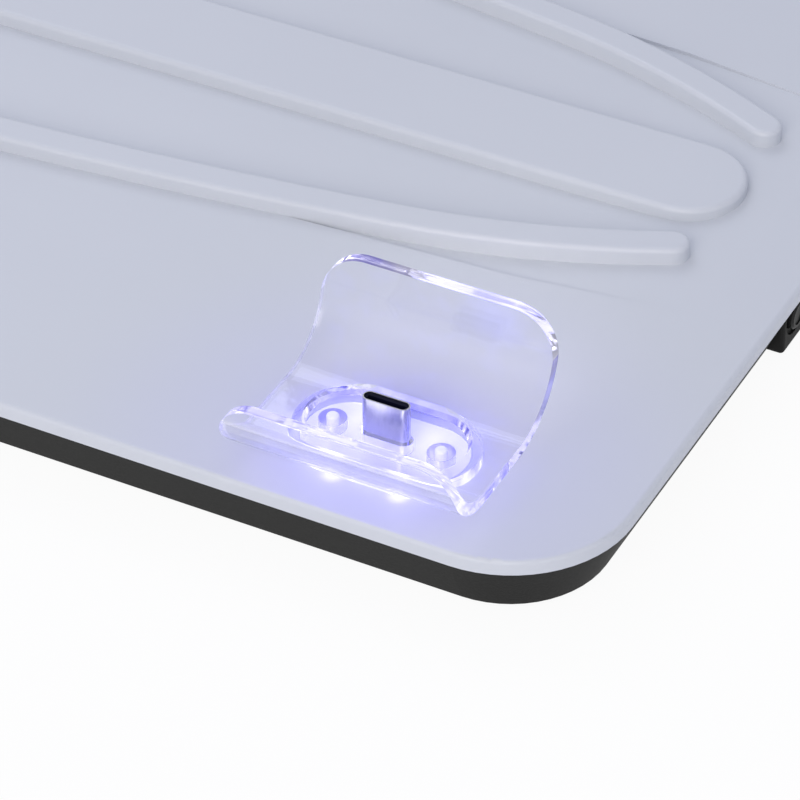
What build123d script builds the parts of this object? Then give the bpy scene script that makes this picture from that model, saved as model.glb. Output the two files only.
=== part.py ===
from build123d import *
import os
from math import atan, degrees

# Controller charging dock: a low white stand base with a charcoal housing under it, and a clear
# cradle near the front corner, where an upright charging plug stands in a lit recess.
# Millimetres. The origin is under the middle of the base, on the surface that it stands on.
# +X is the front, +Z is up, and the cradle is at the front corner on the -Y side.

# Base: cover, leaning skirt and housing
base_length = 260.0
base_width = 208.0
corner_radius = 21.2
cover_edge = 2.7
cover_plate = 2.4
cover_edge_round = 0.8
rim_width = 3.2
skirt_step = 0.4
skirt_lean = 4.1
skirt_foot_round = 1.1
housing_wall = 2.2
housing_floor = 2.2

# Rubber feet
foot_diameter = 14.0
foot_proud = 1.5
foot_recess = 0.8
foot_round = 0.5
foot_from_end = 30.0
foot_from_side = 30.0

# What is stacked inside the housing under the plug, which sets the skirt's height
socket_clear = 0.9
socket_height = 2.8
board_thick = 1.6
led_room = 1.6
flange_thick = 1.2
stack_height = socket_clear + socket_height + board_thick + led_room + flange_thick
skirt_height = housing_floor + stack_height - (cover_edge - cover_plate)

# Levels, from the surface up
housing_z = foot_proud
floor_z = housing_z + housing_floor
split_z = housing_z + skirt_height
cover_z = split_z + cover_edge
plate_z = cover_z - cover_plate
front_x = base_length / 2
side_y = base_width / 2

# Seat on the cover: two rails, a nose between them and a shallow sunk apron
rail_height = 2.9
rail_width = 6.0
rail_round = 0.9
rail_front = 22.9
rail_front_half = 18.9
rail_bow_length = 44.8
rail_bow_half = 33.0
rail_bow_mid_length = 20.6
rail_bow_mid_half = 27.2
rail_rear = 29.0
rail_rear_half = 43.5
nose_height = 2.2
nose_width = 20.4
nose_front = 18.5
nose_rear = 26.0
nose_round = 1.0
apron_sink = 0.6
apron_fade = 0.1
apron_clear = 1.0
apron_front = 5.5
apron_front_half = 31.3
apron_bow = 45.0
apron_bow_half = 36.5
apron_mid = 104.0
apron_mid_half = 39.6
apron_rear = 30.0
apron_rear_half = 43.0
apron_end = 16.0

# Where the dock stands on the base
dock_from_front = 41.2
dock_from_side = 17.9
dock_x = front_x - dock_from_front
dock_y = -side_y + dock_from_side

# Clear cradle: a bent sheet on a stadium foot, with a lit recess around the plug
sheet = 2.1
cradle_width = 41.2
cradle_lift = 2.05
floor_front = 7.4
floor_back = 5.2
lip_radius = 7.9
lip_angle = 85.0
lip_height = 10.0
lip_corner = 6.4
back_radius = 12.0
back_angle = 80.0
back_height = 15.9
back_corner = 7.4
foot_length = 31.6
foot_width = 18.8
foot_seat = 0.8
foot_gap = 0.15
recess_length = 26.8
recess_width = 15.0
recess_depth = 1.2
recess_draft = 30.0
post_spacing = 19.2
post_hole = 4.6

sheet_z = cover_z + cradle_lift
sheet_top_z = sheet_z + sheet
recess_z = sheet_top_z - recess_depth
seat_z = cover_z - foot_seat
lip_top_z = sheet_top_z + lip_height
back_top_z = sheet_top_z + back_height

# Milky light plate under the clear foot
window_length = 28.0
window_width = 15.2
window_gap = 0.15
flange_reach = 2.0
post_diameter = 2.1
post_proud = 0.7
post_round = 0.5
flange_z = plate_z - flange_thick

# Charging plug
plug_length = 8.25
plug_width = 2.4
plug_wall = 0.25
plug_proud = 6.8
plug_gap = 0.45
plug_fit = 0.05
insulator_drop = 0.4
mouth_end_wall = 0.525
mouth_side_wall = 0.5
mouth_depth = 5.5
contact_count = 8
contact_pitch = 0.7
contact_width = 0.35
contact_thick = 0.12
contact_drop = 1.4
plug_base_length = 9.6
plug_base_width = 5.2
insulator_length = plug_length - 2 * plug_wall
insulator_width = plug_width - 2 * plug_wall
mouth_length = insulator_length - 2 * mouth_end_wall
mouth_width = insulator_width - 2 * mouth_side_wall
contact_length = mouth_depth - contact_drop
plug_top_z = recess_z + plug_proud

# Board under the plug
board_corner = 2.0
hole_edge = 3.5
boss_diameter = 5.0
boss_clear = 1.5
dock_boss_spacing = window_length + 2 * flange_reach + boss_diameter + 2 * boss_clear
dock_board_length = dock_boss_spacing + 2 * hole_edge
dock_board_width = 20.0
dock_board_z = flange_z - led_room - board_thick
dock_board_top = dock_board_z + board_thick
led_length = 3.4
led_width = 2.8
led_height = 1.3
led_well = 2.2
led_well_depth = 0.3
led_gap = 0.4
resistor_length = 2.0
resistor_width = 1.25
resistor_height = 0.6
resistor_spacing = 4.0
charge_chip_size = 4.0
charge_chip_height = 0.9

# Wire sockets and leads
socket_length = 9.4
socket_depth = 5.0
socket_edge = 0.5
socket_gap = 0.2
lead_diameter = 1.1
lead_pitch = 1.8
lead_count = 4
lead_bend = 9.0
power_lead_diameter = 1.5
power_lead_pitch = 3.0

# Front and rear pods, with the button in the front one
pod_width = 41.4
pod_reach = 18.0
pod_inset = 1.4
pod_corner = 0.8
pod_foot_round = 0.8
pod_side_wall = 1.2
button_diameter = 5.0
button_gap = 0.15
button_proud = 1.2
button_dish = 0.25
button_dish_diameter = 3.4
button_edge = 0.35
button_ring = 7.2
button_ring_depth = 0.5
collar_diameter = 6.4
collar_thick = 0.8
collar_gap = 0.1
collar_clear = 0.3
stem_diameter = 3.0
stem_length = 1.3
plunger_diameter = 3.4
plunger_proud = 0.8
plunger_hidden = 0.8
plunger_gap = 0.1
button_travel = 0.5
travel_spare = 0.1
switch_size = 6.0
switch_depth = 3.5
pod_face_x = front_x - pod_inset
pod_wall_x = pod_face_x - housing_wall
button_hole = button_diameter + 2 * button_gap
button_y = pod_side_wall + collar_gap + collar_diameter / 2 - pod_width / 2
button_z = floor_z + collar_diameter / 2 + collar_clear
collar_x = pod_wall_x - collar_gap
stem_x = collar_x - collar_thick
plunger_x = stem_x - stem_length
switch_x = plunger_x - plunger_proud
button_board_x = switch_x - switch_depth

# Boards on the housing floor
standoff_height = 1.6
standoff_diameter = 5.0
board_gap = 0.3
main_board_length = 40.0
main_board_width = 54.0
main_board_from_middle = 8.0
button_board_width = 20.0
board_z = floor_z + standoff_height
board_top = board_z + board_thick
main_front_x = button_board_x - board_thick
main_x = main_front_x - main_board_length / 2
main_y = -main_board_from_middle
main_edge_y = main_y - main_board_width / 2
main_rear_x = main_front_x - main_board_length
converter_size = 5.0
converter_height = 0.9
inductor_size = 7.3
inductor_height = 3.0
inductor_corner = 1.2
can_diameter = 4.0
can_height = 3.8
can_spacing = 6.0

# Power inlet at the rear
inlet_length = 8.94
inlet_height = 3.26
inlet_wall = 0.3
inlet_depth = 7.3
inlet_inset = 0.3
inlet_gap = 0.35
inlet_back = 1.2
tongue_length = 6.7
tongue_thick = 0.7
tongue_reach = 4.6
inlet_board_length = 22.0
inlet_board_width = 26.0
inlet_face_x = -pod_face_x + inlet_inset
inlet_board_x = -pod_wall_x + board_gap
inlet_z = board_top + inlet_height / 2

# Screws
screw_diameter = 2.6
screw_head = 5.0
screw_head_height = 1.0
screw_gap = 0.2
screw_bite = 6.0
small_screw_diameter = 1.8
small_screw_head = 3.6
small_screw_head_height = 1.2
small_screw_bite = 2.0
cross_length = 2.6
cross_width = 0.6
cross_depth = 0.7
housing_boss = 7.0
counterbore_gap = 0.3
end_screw_from_end = 14.0
end_screw_from_side = 38.0
side_screw_from_side = 12.0
screw_hole = screw_diameter + 2 * screw_gap
small_screw_hole = small_screw_diameter + 2 * screw_gap
housing_counterbore = screw_head + 2 * counterbore_gap

skirt_angle = degrees(atan(skirt_lean / skirt_height))
sunk_middle = (Align.CENTER, Align.CENTER, Align.MAX)
raised_middle = (Align.CENTER, Align.CENTER, Align.MIN)

lead_row_x = main_rear_x + hole_edge + small_screw_head / 2 + socket_gap + socket_length / 2
end_x = front_x - end_screw_from_end
end_y = side_y - end_screw_from_side
mid_y = side_y - side_screw_from_side
housing_screw_places = [(x, y) for x in (-end_x, end_x) for y in (-end_y, end_y)]
housing_screw_places += [(0, -mid_y), (0, mid_y)]
foot_x = front_x - foot_from_end
foot_y = side_y - foot_from_side
dock_screw_places = [(dock_x + side * dock_boss_spacing / 2, dock_y) for side in (-1, 1)]
main_half_length = main_board_length / 2 - hole_edge
main_half_width = main_board_width / 2 - hole_edge
inlet_half_width = inlet_board_width / 2 - hole_edge
inlet_screw_x = inlet_board_x + inlet_board_length - hole_edge
board_screw_places = [
    (main_x + along * main_half_length, main_y + across * main_half_width)
    for along in (-1, 1)
    for across in (-1, 1)
]
board_screw_places += [(inlet_screw_x, across * inlet_half_width) for across in (-1, 1)]


def add_screw(places, seat, head, head_height, shank, bite, up):
    """Adds pan-head screws whose heads sit on the level named seat, above it or below it."""
    head_align = raised_middle if up else sunk_middle
    shank_align = sunk_middle if up else raised_middle
    cross = seat + head_height if up else seat - head_height
    with Locations(*[(x, y, seat) for x, y in places]):
        Cylinder(head / 2, head_height, align=head_align)
        Cylinder(shank / 2, bite, align=shank_align)
    with Locations(*[(x, y, cross) for x, y in places]):
        Box(cross_length, cross_width, 2 * cross_depth, mode=Mode.SUBTRACT)
        Box(cross_width, cross_length, 2 * cross_depth, mode=Mode.SUBTRACT)


# White cover: plate, rim, raised seat, window and seat for the cradle's foot, screw bosses
with BuildPart() as top_cover:
    with BuildSketch(Plane.XY.offset(plate_z)):
        RectangleRounded(base_length, base_width, corner_radius)
    extrude(amount=cover_plate)
    with BuildSketch(Plane.XY.offset(split_z)):
        RectangleRounded(base_length, base_width, corner_radius)
        RectangleRounded(
            base_length - 2 * rim_width,
            base_width - 2 * rim_width,
            corner_radius - rim_width,
            mode=Mode.SUBTRACT,
        )
    extrude(amount=cover_edge - cover_plate)
    fillet(top_cover.edges().group_by(Axis.Z)[-1], radius=cover_edge_round)
    apron_sections = [
        (apron_end - front_x, apron_rear_half, -apron_fade),
        (apron_rear - front_x, apron_rear_half, apron_sink),
        (front_x - apron_mid, apron_mid_half, apron_sink),
        (front_x - apron_bow, apron_bow_half, apron_sink),
        (front_x - apron_front, apron_front_half, -apron_fade),
    ]
    for section_x, section_half, section_sink in apron_sections:
        with BuildSketch(Plane.YZ.offset(section_x)):
            with Locations((0, cover_z - section_sink)):
                Rectangle(2 * section_half, apron_clear + section_sink, align=(Align.CENTER, Align.MIN))
    loft(ruled=True, mode=Mode.SUBTRACT)
    with BuildSketch(Plane.XY.offset(cover_z - apron_sink)):
        with Locations(((nose_rear - nose_front) / 2, 0)):
            SlotOverall(base_length - nose_rear - nose_front, nose_width)
    extrude(amount=apron_sink + nose_height)
    fillet(top_cover.edges().group_by(Axis.Z)[-1], radius=nose_round)
    with BuildSketch(Plane.XY.offset(cover_z - apron_sink)):
        with BuildLine():
            bow = ThreePointArc(
                (front_x - rail_front, -rail_front_half),
                (front_x - rail_front - rail_bow_mid_length, -rail_bow_mid_half),
                (front_x - rail_front - rail_bow_length, -rail_bow_half),
            )
            run = TangentArc(bow @ 1, (rail_rear - front_x, -rail_rear_half), tangent=bow % 1)
        trace(line_width=rail_width)
        with Locations(bow @ 0, run @ 1):
            Circle(rail_width / 2)
        mirror(about=Plane.XZ)
    extrude(amount=apron_sink + rail_height)
    fillet(top_cover.edges().group_by(Axis.Z)[-1], radius=rail_round)
    with Locations(*[(x, y, plate_z) for x, y in housing_screw_places]):
        Cylinder(housing_boss / 2, plate_z - floor_z, align=sunk_middle)
    with Locations(*[(x, y, floor_z) for x, y in housing_screw_places]):
        Cylinder(screw_diameter / 2, screw_bite, align=raised_middle, mode=Mode.SUBTRACT)
    with Locations(*[(x, y, plate_z) for x, y in dock_screw_places]):
        Cylinder(boss_diameter / 2, plate_z - dock_board_top, align=sunk_middle)
    with Locations(*[(x, y, dock_board_top) for x, y in dock_screw_places]):
        Cylinder(
            small_screw_diameter / 2, small_screw_bite, align=raised_middle, mode=Mode.SUBTRACT
        )
    with BuildSketch(Plane.XY.offset(seat_z)):
        with Locations((dock_x, dock_y)):
            SlotOverall(foot_length + 2 * foot_gap, foot_width + 2 * foot_gap)
    extrude(amount=foot_seat, mode=Mode.SUBTRACT)
    with BuildSketch(Plane.XY.offset(plate_z)):
        with Locations((dock_x, dock_y)):
            SlotOverall(window_length + 2 * window_gap, window_width + 2 * window_gap)
    extrude(amount=cover_plate, mode=Mode.SUBTRACT)
top_cover.part.label = "top_cover"

# Charcoal housing: leaning skirt, a pod at each end, floor with standoffs, screw holes and foot recesses
with BuildPart() as bottom_housing:
    with BuildSketch(Plane.XY.offset(split_z)):
        RectangleRounded(
            base_length - 2 * skirt_step, base_width - 2 * skirt_step, corner_radius - skirt_step
        )
    extrude(amount=-skirt_height, taper=skirt_angle)
    fillet(bottom_housing.edges().group_by(Axis.Z)[0], radius=skirt_foot_round)
    with BuildSketch(Plane.XY.offset(housing_z)):
        for end in (-1, 1):
            with Locations((end * (pod_face_x - pod_reach / 2), 0)):
                RectangleRounded(pod_reach, pod_width, pod_corner)
    pods = extrude(amount=skirt_height, mode=Mode.PRIVATE)
    add(pods.fillet(pod_foot_round, pods.edges().group_by(Axis.Z)[0]))
    with BuildSketch(Plane.XY.offset(housing_z)):
        for end in (-1, 1):
            with Locations((end * (pod_face_x + pod_inset), 0)):
                Rectangle(2 * pod_inset, pod_width - 2 * pod_corner)
    extrude(amount=skirt_height, mode=Mode.SUBTRACT)
    inner_step = skirt_step + housing_wall
    with BuildSketch(Plane.XY.offset(split_z)):
        RectangleRounded(
            base_length - 2 * inner_step, base_width - 2 * inner_step, corner_radius - inner_step
        )
    extrude(amount=floor_z - split_z, taper=skirt_angle, mode=Mode.SUBTRACT)
    with BuildSketch(Plane.XY.offset(floor_z)):
        for end in (-1, 1):
            with Locations((end * (pod_wall_x - pod_reach / 2), 0)):
                Rectangle(pod_reach, pod_width - 2 * pod_side_wall)
    extrude(amount=split_z - floor_z, mode=Mode.SUBTRACT)
    with Locations(*[(x, y, floor_z) for x, y in board_screw_places]):
        Cylinder(standoff_diameter / 2, standoff_height, align=raised_middle)
    with Locations(*[(x, y, board_z) for x, y in board_screw_places]):
        Cylinder(small_screw_diameter / 2, small_screw_bite, align=sunk_middle, mode=Mode.SUBTRACT)
    with Locations(*[(x, y, housing_z) for x, y in housing_screw_places]):
        Cylinder(screw_hole / 2, housing_floor, align=raised_middle, mode=Mode.SUBTRACT)
        Cylinder(
            housing_counterbore / 2, housing_floor / 2, align=raised_middle, mode=Mode.SUBTRACT
        )
    with Locations(*[(x, y, housing_z) for x in (-foot_x, foot_x) for y in (-foot_y, foot_y)]):
        Cylinder(foot_diameter / 2, foot_recess, align=raised_middle, mode=Mode.SUBTRACT)
    with BuildSketch(Plane.YZ.offset(pod_face_x)):
        with Locations((button_y, button_z)):
            Circle(button_hole / 2)
    extrude(amount=-housing_wall, mode=Mode.SUBTRACT)
    with BuildSketch(Plane.YZ.offset(pod_face_x)):
        with Locations((button_y, button_z)):
            Circle(button_ring / 2)
    extrude(amount=-button_ring_depth, mode=Mode.SUBTRACT)
    with BuildSketch(Plane.YZ.offset(-pod_face_x)):
        with Locations((0, inlet_z)):
            SlotOverall(inlet_length + 2 * inlet_gap, inlet_height + 2 * inlet_gap)
    extrude(amount=housing_wall, mode=Mode.SUBTRACT)
bottom_housing.part.label = "bottom_housing"

# Clear cradle: bent sheet with rounded corners, stadium foot, recess, post holes and plug slot
with BuildPart() as clear_cradle:
    with BuildSketch(Plane.YZ.offset(dock_x)):
        with BuildLine():
            middle_z = sheet_z + sheet / 2
            flat = Line((dock_y - floor_front, middle_z), (dock_y + floor_back, middle_z))
            back_bend = JernArc(flat @ 1, flat % 1, back_radius + sheet / 2, back_angle)
            Line(back_bend @ 1, (back_bend @ 1) + back_height * (back_bend % 1))
            lip_bend = JernArc(flat @ 0, (flat % 0) * -1, lip_radius + sheet / 2, -lip_angle)
            Line(lip_bend @ 1, (lip_bend @ 1) + lip_height * (lip_bend % 1))
        trace(line_width=sheet)
    extrude(amount=cradle_width / 2, both=True)
    trims = [
        (dock_y - floor_front, lip_top_z, lip_corner),
        (dock_y + floor_back + cradle_width, back_top_z, back_corner),
    ]
    for trim_y, trim_z, trim_corner in trims:
        with BuildSketch(Plane.XZ.offset(-trim_y)):
            with Locations((dock_x, sheet_top_z)):
                Rectangle(2 * cradle_width, cradle_width, align=(Align.CENTER, Align.MIN))
            with Locations((dock_x, trim_z)):
                RectangleRounded(
                    cradle_width,
                    2 * cradle_width,
                    trim_corner,
                    align=(Align.CENTER, Align.MAX),
                    mode=Mode.SUBTRACT,
                )
        extrude(amount=cradle_width, mode=Mode.SUBTRACT)
    with BuildSketch(Plane.XY.offset(seat_z)):
        with Locations((dock_x, dock_y)):
            SlotOverall(foot_length, foot_width)
    extrude(amount=sheet_z + sheet / 2 - seat_z)
    with BuildSketch(Plane.XY.offset(recess_z)):
        with Locations((dock_x, dock_y)):
            SlotOverall(recess_length, recess_width)
    extrude(amount=2 * sheet, taper=-recess_draft, mode=Mode.SUBTRACT)
    with BuildSketch(Plane.XY.offset(seat_z)):
        with Locations((dock_x - post_spacing / 2, dock_y), (dock_x + post_spacing / 2, dock_y)):
            Circle(post_hole / 2)
        with Locations((dock_x, dock_y)):
            SlotOverall(plug_length + 2 * plug_gap, plug_width + 2 * plug_gap)
    extrude(amount=recess_z - seat_z, mode=Mode.SUBTRACT)
clear_cradle.part.label = "clear_cradle"

# Milky light plate: flange under the cover, body in the window, two posts for the cradle's holes
with BuildPart() as light_diffuser:
    with BuildSketch(Plane.XY.offset(flange_z)):
        with Locations((dock_x, dock_y)):
            SlotOverall(window_length + 2 * flange_reach, window_width + 2 * flange_reach)
    extrude(amount=flange_thick)
    with BuildSketch(Plane.XY.offset(flange_z)):
        with Locations((dock_x, dock_y)):
            SlotOverall(window_length, window_width)
    extrude(amount=seat_z - flange_z)
    with BuildSketch(Plane.XY.offset(seat_z)):
        with Locations((dock_x - post_spacing / 2, dock_y), (dock_x + post_spacing / 2, dock_y)):
            Circle(post_diameter / 2)
    extrude(amount=recess_z + post_proud - seat_z)
    fillet(light_diffuser.edges().group_by(Axis.Z)[-1], radius=post_round)
    with BuildSketch(Plane.XY.offset(flange_z)):
        with Locations((dock_x, dock_y)):
            SlotOverall(plug_length + 2 * plug_gap, plug_width + 2 * plug_gap)
    extrude(amount=seat_z - flange_z, mode=Mode.SUBTRACT)
light_diffuser.part.label = "light_diffuser"

# Steel shell of the plug, a seamed stadium tube that stands on the board
with BuildPart() as plug_shell:
    with BuildSketch(Plane.XY.offset(dock_board_top)):
        with Locations((dock_x, dock_y)):
            SlotOverall(plug_length, plug_width)
            SlotOverall(insulator_length, insulator_width, mode=Mode.SUBTRACT)
    extrude(amount=plug_top_z - dock_board_top)
plug_shell.part.label = "plug_shell"

# Black insulator in the shell, with the mouth that takes the socket's tongue
with BuildPart() as plug_insulator:
    with BuildSketch(Plane.XY.offset(dock_board_top)):
        with Locations((dock_x, dock_y)):
            SlotOverall(insulator_length, insulator_width)
    extrude(amount=plug_top_z - insulator_drop - dock_board_top)
    with BuildSketch(Plane.XY.offset(plug_top_z - insulator_drop)):
        with Locations((dock_x, dock_y)):
            Rectangle(mouth_length, mouth_width)
    extrude(amount=-mouth_depth, mode=Mode.SUBTRACT)
plug_insulator.part.label = "plug_insulator"

# Contact strips on the two long walls of the mouth
with BuildPart() as plug_contacts:
    contact_y = (mouth_width - contact_thick) / 2
    contact_top = plug_top_z - insulator_drop - contact_drop
    with Locations((dock_x, dock_y, contact_top)):
        with GridLocations(contact_pitch, 2 * contact_y, contact_count, 2):
            Box(contact_width, contact_thick, contact_length, align=sunk_middle)
plug_contacts.part.label = "plug_contacts"

# Nylon base that holds the plug upright between the board and the light plate
with BuildPart() as plug_base:
    with BuildSketch(Plane.XY.offset(dock_board_top)):
        with Locations((dock_x, dock_y)):
            RectangleRounded(plug_base_length, plug_base_width, plug_base_width / 8)
            SlotOverall(plug_length + 2 * plug_fit, plug_width + 2 * plug_fit, mode=Mode.SUBTRACT)
    extrude(amount=flange_z - dock_board_top)
plug_base.part.label = "plug_base"

# Board under the plug, hung from two bosses of the cover
with BuildPart() as dock_board:
    with BuildSketch(Plane.XY.offset(dock_board_z)):
        with Locations((dock_x, dock_y)):
            RectangleRounded(dock_board_length, dock_board_width, board_corner)
        with Locations(*dock_screw_places):
            Circle(small_screw_hole / 2, mode=Mode.SUBTRACT)
    extrude(amount=board_thick)
dock_board.part.label = "dock_board"

# Two light-emitting diodes, one each side of the plug, with a round well in each
with BuildPart() as dock_leds:
    led_offset = plug_base_length / 2 + led_gap + led_width / 2
    led_places = [(dock_x + side * led_offset, dock_y, dock_board_top) for side in (-1, 1)]
    with Locations(*led_places):
        Box(led_width, led_length, led_height, align=raised_middle)
    with Locations(*[(x, y, z + led_height) for x, y, z in led_places]):
        Cylinder(led_well / 2, led_well_depth, align=sunk_middle, mode=Mode.SUBTRACT)
dock_leds.part.label = "dock_leds"

# Resistors and charge chip under the dock board
with BuildPart() as dock_resistors:
    with Locations((dock_x, dock_y - dock_board_width / 4, dock_board_z)):
        with GridLocations(resistor_spacing, resistor_spacing, 4, 1):
            Box(resistor_length, resistor_width, resistor_height, align=sunk_middle)
dock_resistors.part.label = "dock_resistors"

with BuildPart() as dock_charge_chip:
    with Locations((lead_row_x - socket_length, dock_y + dock_board_width / 4, dock_board_z)):
        Box(charge_chip_size, charge_chip_size, charge_chip_height, align=sunk_middle)
dock_charge_chip.part.label = "dock_charge_chip"

# Wire sockets: a nylon block with a row of holes, one hole for each lead
dock_socket_y = dock_y + dock_board_width / 2 - socket_edge - socket_depth / 2
dock_socket_z = dock_board_z - socket_height / 2
main_socket_y = main_edge_y + socket_edge + socket_depth / 2
main_socket_z = board_top + socket_height / 2
lead_start_y = dock_socket_y
lead_end_y = main_socket_y
lead_rise = (lead_end_y - lead_start_y) / 3

with BuildPart() as dock_socket:
    with Locations((lead_row_x, dock_socket_y, dock_socket_z)):
        Box(socket_length, socket_depth, socket_height)
    with Locations((lead_row_x, dock_socket_y + socket_depth / 4, dock_socket_z)):
        with GridLocations(lead_pitch, 1, lead_count, 1):
            Cylinder(lead_diameter / 2, socket_depth / 2, rotation=(90, 0, 0), mode=Mode.SUBTRACT)
dock_socket.part.label = "dock_socket"

with BuildPart() as main_dock_socket:
    with Locations((lead_row_x, main_socket_y, main_socket_z)):
        Box(socket_length, socket_depth, socket_height)
    with Locations((lead_row_x, main_socket_y - socket_depth / 4, main_socket_z)):
        with GridLocations(lead_pitch, 1, lead_count, 1):
            Cylinder(lead_diameter / 2, socket_depth / 2, rotation=(90, 0, 0), mode=Mode.SUBTRACT)
main_dock_socket.part.label = "main_dock_socket"

# Four leads from the dock board up to the main board
with BuildPart() as dock_leads:
    for lead in range(lead_count):
        lead_x = lead_row_x + (lead - (lead_count - 1) / 2) * lead_pitch
        with BuildLine() as lead_path:
            FilletPolyline(
                (lead_x, lead_start_y, dock_socket_z),
                (lead_x, lead_start_y + lead_rise, dock_socket_z),
                (lead_x, lead_end_y - lead_rise, main_socket_z),
                (lead_x, lead_end_y, main_socket_z),
                radius=lead_bend,
            )
        with BuildSketch(Plane(origin=lead_path.line @ 0, z_dir=lead_path.line % 0)):
            Circle(lead_diameter / 2)
        sweep(path=lead_path.line)
dock_leads.part.label = "dock_leads"

# Screws of the dock board, driven up into the cover's bosses
with BuildPart() as dock_screws:
    add_screw(
        dock_screw_places,
        dock_board_z,
        small_screw_head,
        small_screw_head_height,
        small_screw_diameter,
        board_thick + small_screw_bite,
        up=False,
    )
dock_screws.part.label = "dock_screws"

# Main board on four standoffs, with its front edge against the button board
with BuildPart() as main_board:
    with BuildSketch(Plane.XY.offset(board_z)):
        with Locations((main_x, main_y)):
            Rectangle(main_board_length, main_board_width)
        with Locations(*board_screw_places[:4]):
            Circle(small_screw_hole / 2, mode=Mode.SUBTRACT)
    extrude(amount=board_thick)
main_board.part.label = "main_board"

with BuildPart() as main_converter_chip:
    with Locations((main_x, main_y, board_top)):
        Box(converter_size, converter_size, converter_height, align=raised_middle)
main_converter_chip.part.label = "main_converter_chip"

with BuildPart() as main_inductor:
    with BuildSketch(Plane.XY.offset(board_top)):
        with Locations((main_x, main_y + 2 * inductor_size)):
            RectangleRounded(inductor_size, inductor_size, inductor_corner)
    extrude(amount=inductor_height)
main_inductor.part.label = "main_inductor"

with BuildPart() as main_capacitors:
    with Locations((main_x + inductor_size + can_spacing / 2, main_y + inductor_size, board_top)):
        with GridLocations(can_spacing, can_spacing, 1, 3):
            Cylinder(can_diameter / 2, can_height, align=raised_middle)
main_capacitors.part.label = "main_capacitors"

# Button board, standing at the main board's front edge, with the switch in front of it
with BuildPart() as button_board:
    with Locations((main_front_x + board_thick / 2, button_y, button_z)):
        Box(board_thick, button_board_width, 2 * (button_z - floor_z - board_gap))
button_board.part.label = "button_board"

with BuildPart() as switch_body:
    with Locations((switch_x - switch_depth / 2, button_y, button_z)):
        Box(switch_depth, switch_size, switch_size)
    with BuildSketch(Plane.YZ.offset(switch_x)):
        with Locations((button_y, button_z)):
            Circle(plunger_diameter / 2 + plunger_gap)
    extrude(amount=-(plunger_hidden + button_travel + travel_spare), mode=Mode.SUBTRACT)
switch_body.part.label = "switch_body"

with BuildPart() as switch_plunger:
    with BuildSketch(Plane.YZ.offset(plunger_x)):
        with Locations((button_y, button_z)):
            Circle(plunger_diameter / 2)
    extrude(amount=-(plunger_proud + plunger_hidden))
switch_plunger.part.label = "switch_plunger"

# Round button: dished cap, a collar behind the wall and a stem that pushes the plunger
with BuildPart() as mode_button:
    cap_x = pod_face_x - button_ring_depth + button_proud
    with BuildSketch(Plane.YZ.offset(cap_x)):
        with Locations((button_y, button_z)):
            Circle(button_diameter / 2)
    extrude(amount=collar_x - cap_x)
    chamfer(mode_button.edges().group_by(Axis.X)[-1], length=button_edge)
    with BuildSketch(Plane.YZ.offset(cap_x)):
        with Locations((button_y, button_z)):
            Circle(button_dish_diameter / 2)
    extrude(amount=-button_dish, mode=Mode.SUBTRACT)
    with BuildSketch(Plane.YZ.offset(collar_x)):
        with Locations((button_y, button_z)):
            Circle(collar_diameter / 2)
    extrude(amount=-collar_thick)
    with BuildSketch(Plane.YZ.offset(stem_x)):
        with Locations((button_y, button_z)):
            Circle(stem_diameter / 2)
    extrude(amount=-stem_length)
mode_button.part.label = "mode_button"

# Rear board with the power inlet
with BuildPart() as inlet_board:
    with BuildSketch(Plane.XY.offset(board_z)):
        with Locations((inlet_board_x, 0)):
            Rectangle(inlet_board_length, inlet_board_width, align=(Align.MIN, Align.CENTER))
        with Locations(*board_screw_places[4:]):
            Circle(small_screw_hole / 2, mode=Mode.SUBTRACT)
    extrude(amount=board_thick)
inlet_board.part.label = "inlet_board"

with BuildPart() as inlet_shell:
    with BuildSketch(Plane.YZ.offset(inlet_face_x)):
        with Locations((0, inlet_z)):
            SlotOverall(inlet_length, inlet_height)
            SlotOverall(
                inlet_length - 2 * inlet_wall, inlet_height - 2 * inlet_wall, mode=Mode.SUBTRACT
            )
    extrude(amount=inlet_depth)
inlet_shell.part.label = "inlet_shell"

with BuildPart() as inlet_tongue:
    inlet_back_x = inlet_face_x + inlet_depth
    with BuildSketch(Plane.YZ.offset(inlet_back_x)):
        with Locations((0, inlet_z)):
            SlotOverall(inlet_length - 2 * inlet_wall, inlet_height - 2 * inlet_wall)
    extrude(amount=-inlet_back)
    with BuildSketch(Plane.YZ.offset(inlet_back_x - inlet_back)):
        with Locations((0, inlet_z)):
            Rectangle(tongue_length, tongue_thick)
    extrude(amount=-tongue_reach)
inlet_tongue.part.label = "inlet_tongue"

# Power sockets and the pair of leads between the rear board and the main board
power_start_x = inlet_board_x + inlet_board_length - socket_edge - socket_depth / 2
power_end_x = main_rear_x + socket_edge + socket_depth / 2

with BuildPart() as inlet_socket:
    with Locations((power_start_x, 0, main_socket_z)):
        Box(socket_depth, socket_length, socket_height)
    with Locations((power_start_x + socket_depth / 4, 0, main_socket_z)):
        with GridLocations(1, power_lead_pitch, 1, 2):
            Cylinder(
                power_lead_diameter / 2, socket_depth / 2, rotation=(0, 90, 0), mode=Mode.SUBTRACT
            )
inlet_socket.part.label = "inlet_socket"

with BuildPart() as main_power_socket:
    with Locations((power_end_x, 0, main_socket_z)):
        Box(socket_depth, socket_length, socket_height)
    with Locations((power_end_x - socket_depth / 4, 0, main_socket_z)):
        with GridLocations(1, power_lead_pitch, 1, 2):
            Cylinder(
                power_lead_diameter / 2, socket_depth / 2, rotation=(0, 90, 0), mode=Mode.SUBTRACT
            )
main_power_socket.part.label = "main_power_socket"

with BuildPart() as power_leads:
    with Locations(((power_start_x + power_end_x) / 2, 0, main_socket_z)):
        with GridLocations(1, power_lead_pitch, 1, 2):
            Cylinder(power_lead_diameter / 2, power_end_x - power_start_x, rotation=(0, 90, 0))
power_leads.part.label = "power_leads"

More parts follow.
